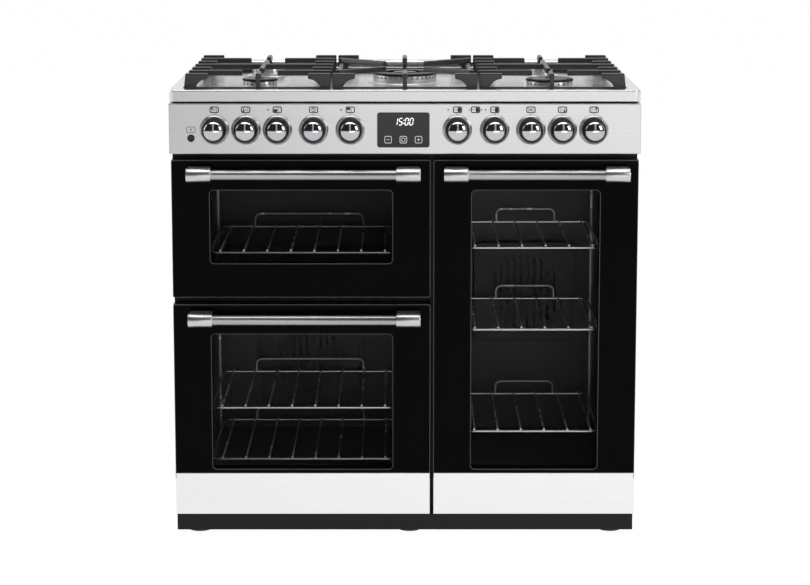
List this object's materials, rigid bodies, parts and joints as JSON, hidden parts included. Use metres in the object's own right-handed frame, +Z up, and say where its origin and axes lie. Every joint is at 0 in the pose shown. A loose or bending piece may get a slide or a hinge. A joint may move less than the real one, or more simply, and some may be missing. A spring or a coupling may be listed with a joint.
{
  "type": "dual fuel range cooker",
  "caption": "Free-standing range cooker with gas burners under cast-iron pan supports, a drop-down grill oven, side-hung electric ovens with glass doors, and a knob panel with a clock.",
  "frame": {"origin": "on the floor, under the middle of the overall box", "axes": "+X to the right seen from the front, +Y from the doors to the back, +Z up"},
  "size_m": [0.9, 0.645, 0.9],
  "materials": {
    "black_panel": "semi-gloss",
    "galvanised": "matt",
    "stainless": "brushed",
    "cast_iron": "matt enamel",
    "cap_enamel": "gloss",
    "burner_alloy": "satin",
    "pipe_alloy": "satin",
    "stem_brass": "satin",
    "bright_chrome": "polished",
    "door_glass": "gloss",
    "door_black": "gloss",
    "oven_enamel": "gloss enamel",
    "mineral_wool": "matt",
    "seal": "matt",
    "plated_steel": "plated",
    "black_plastic": "matt",
    "clock_face": "gloss"
  },
  "bodies": {
    "chassis": {"side_panels": "black_panel", "plinth": "black_panel", "front_frame": "black_panel", "base_tray": "galvanised", "rear_panel": "galvanised", "hob_top": "stainless", "flue_trim": "stainless", "control_panel": "stainless", "burner_caps": "cap_enamel", "burner_cups": "burner_alloy", "burner_crowns": "burner_alloy", "gas_rail": "pipe_alloy", "knob_bezels": "bright_chrome", "oven_shelves": "bright_chrome", "shelf_racks": "bright_chrome", "grill_cavity": "oven_enamel", "main_cavity": "oven_enamel", "tall_cavity": "oven_enamel", "fan_covers": "oven_enamel", "oven_insulation": "mineral_wool", "door_seals": "seal", "door_hinges": "plated_steel", "heating_elements": "plated_steel", "fan_motors": "plated_steel", "oven_switches": "black_plastic", "terminal_box": "black_plastic", "levelling_feet": "black_plastic", "clock_display": "clock_face"},
    "grill_door": {"grill_door_glass": "door_glass", "grill_door_frame": "door_black", "grill_door_handle": "stainless"},
    "main_door": {"main_door_glass": "door_glass", "main_door_frame": "door_black", "main_door_handle": "stainless", "main_door_trim": "stainless"},
    "tall_door": {"tall_door_glass": "door_glass", "tall_door_frame": "door_black", "tall_door_handle": "stainless", "tall_door_trim": "stainless"},
    "left_pan_support": {"pan_support_left": "cast_iron"},
    "centre_pan_support": {"pan_support_centre": "cast_iron"},
    "right_pan_support": {"pan_support_right": "cast_iron"},
    "main_oven_fan": {"main_fan": "plated_steel"},
    "tall_oven_fan": {"tall_fan": "plated_steel"},
    "ignition_plunger": {"ignition_button": "black_plastic"},
    "left_rear_burner_control": {"left_rear_burner_knob": "bright_chrome"},
    "left_rear_burner_spindle": {"left_rear_burner_stem": "stem_brass"},
    "left_front_burner_control": {"left_front_burner_knob": "bright_chrome"},
    "left_front_burner_spindle": {"left_front_burner_stem": "stem_brass"},
    "main_oven_control": {"main_oven_knob": "bright_chrome"},
    "main_oven_mode_control": {"main_oven_mode_knob": "bright_chrome"},
    "grill_control": {"grill_knob": "bright_chrome"},
    "tall_oven_mode_control": {"tall_oven_mode_knob": "bright_chrome"},
    "tall_oven_control": {"tall_oven_knob": "bright_chrome"},
    "centre_burner_control": {"centre_burner_knob": "bright_chrome"},
    "centre_burner_spindle": {"centre_burner_stem": "stem_brass"},
    "right_front_burner_control": {"right_front_burner_knob": "bright_chrome"},
    "right_front_burner_spindle": {"right_front_burner_stem": "stem_brass"},
    "right_rear_burner_control": {"right_rear_burner_knob": "bright_chrome"},
    "right_rear_burner_spindle": {"right_rear_burner_stem": "stem_brass"}
  },
  "joints": [
    {"name": "grill_door_hinge", "type": "hinge", "parent": "chassis", "child": "grill_door", "pos_m": [-0.199, -0.2655, 0.484], "axis": [1, 0, 0], "range_deg": [0, 90], "stiffness_Nm_per_rad": 1.5, "springref_deg": -45.84},
    {"name": "main_door_hinge", "type": "hinge", "parent": "chassis", "child": "main_door", "pos_m": [-0.435, -0.2655, 0.25], "axis": [0, 0, -1], "range_deg": [0, 100]},
    {"name": "tall_door_hinge", "type": "hinge", "parent": "chassis", "child": "tall_door", "pos_m": [0.435, -0.2655, 0.39], "axis": [0, 0, 1], "range_deg": [0, 100]},
    {"name": "main_fan_spin", "type": "hinge", "parent": "chassis", "child": "main_oven_fan", "pos_m": [-0.199, 0.2, 0.2675], "axis": [0, 1, 0], "continuous": true},
    {"name": "tall_fan_spin", "type": "hinge", "parent": "chassis", "child": "tall_oven_fan", "pos_m": [0.251, 0.2, 0.4075], "axis": [0, 1, 0], "continuous": true},
    {"name": "ignition_push", "type": "slide", "parent": "chassis", "child": "ignition_plunger", "axis": [0, 1, 0], "range_m": [0, 0.003], "stiffness_N_per_m": 1500},
    {"name": "left_support_lift", "type": "slide", "parent": "chassis", "child": "left_pan_support", "axis": [0, 0, 1], "range_m": [0, 0.08]},
    {"name": "centre_support_lift", "type": "slide", "parent": "chassis", "child": "centre_pan_support", "axis": [0, 0, 1], "range_m": [0, 0.08]},
    {"name": "right_support_lift", "type": "slide", "parent": "chassis", "child": "right_pan_support", "axis": [0, 0, 1], "range_m": [0, 0.08]},
    {"name": "left_rear_burner_push", "type": "slide", "parent": "chassis", "child": "left_rear_burner_spindle", "axis": [0, 1, 0], "range_m": [0, 0.004], "stiffness_N_per_m": 2000},
    {"name": "left_rear_burner_turn", "type": "hinge", "parent": "left_rear_burner_spindle", "child": "left_rear_burner_control", "pos_m": [-0.363, -0.2775, 0.796], "axis": [0, -1, 0], "range_deg": [0, 210]},
    {"name": "left_front_burner_push", "type": "slide", "parent": "chassis", "child": "left_front_burner_spindle", "axis": [0, 1, 0], "range_m": [0, 0.004], "stiffness_N_per_m": 2000},
    {"name": "left_front_burner_turn", "type": "hinge", "parent": "left_front_burner_spindle", "child": "left_front_burner_control", "pos_m": [-0.303, -0.2775, 0.796], "axis": [0, -1, 0], "range_deg": [0, 210]},
    {"name": "main_oven_turn", "type": "hinge", "parent": "chassis", "child": "main_oven_control", "pos_m": [-0.243, -0.2775, 0.796], "axis": [0, 1, 0], "range_deg": [0, 270]},
    {"name": "main_oven_mode_turn", "type": "hinge", "parent": "chassis", "child": "main_oven_mode_control", "pos_m": [-0.174, -0.2775, 0.796], "axis": [0, 1, 0], "range_deg": [0, 300]},
    {"name": "grill_turn", "type": "hinge", "parent": "chassis", "child": "grill_control", "pos_m": [-0.104, -0.2775, 0.796], "axis": [0, 1, 0], "range_deg": [0, 270]},
    {"name": "tall_oven_mode_turn", "type": "hinge", "parent": "chassis", "child": "tall_oven_mode_control", "pos_m": [0.1, -0.2775, 0.796], "axis": [0, 1, 0], "range_deg": [0, 300]},
    {"name": "tall_oven_turn", "type": "hinge", "parent": "chassis", "child": "tall_oven_control", "pos_m": [0.171, -0.2775, 0.796], "axis": [0, 1, 0], "range_deg": [0, 270]},
    {"name": "centre_burner_push", "type": "slide", "parent": "chassis", "child": "centre_burner_spindle", "axis": [0, 1, 0], "range_m": [0, 0.004], "stiffness_N_per_m": 2000},
    {"name": "centre_burner_turn", "type": "hinge", "parent": "centre_burner_spindle", "child": "centre_burner_control", "pos_m": [0.24, -0.2775, 0.796], "axis": [0, -1, 0], "range_deg": [0, 210]},
    {"name": "right_front_burner_push", "type": "slide", "parent": "chassis", "child": "right_front_burner_spindle", "axis": [0, 1, 0], "range_m": [0, 0.004], "stiffness_N_per_m": 2000},
    {"name": "right_front_burner_turn", "type": "hinge", "parent": "right_front_burner_spindle", "child": "right_front_burner_control", "pos_m": [0.3, -0.2775, 0.796], "axis": [0, -1, 0], "range_deg": [0, 210]},
    {"name": "right_rear_burner_push", "type": "slide", "parent": "chassis", "child": "right_rear_burner_spindle", "axis": [0, 1, 0], "range_m": [0, 0.004], "stiffness_N_per_m": 2000},
    {"name": "right_rear_burner_turn", "type": "hinge", "parent": "right_rear_burner_spindle", "child": "right_rear_burner_control", "pos_m": [0.36, -0.2775, 0.796], "axis": [0, -1, 0], "range_deg": [0, 210]}
  ]
}
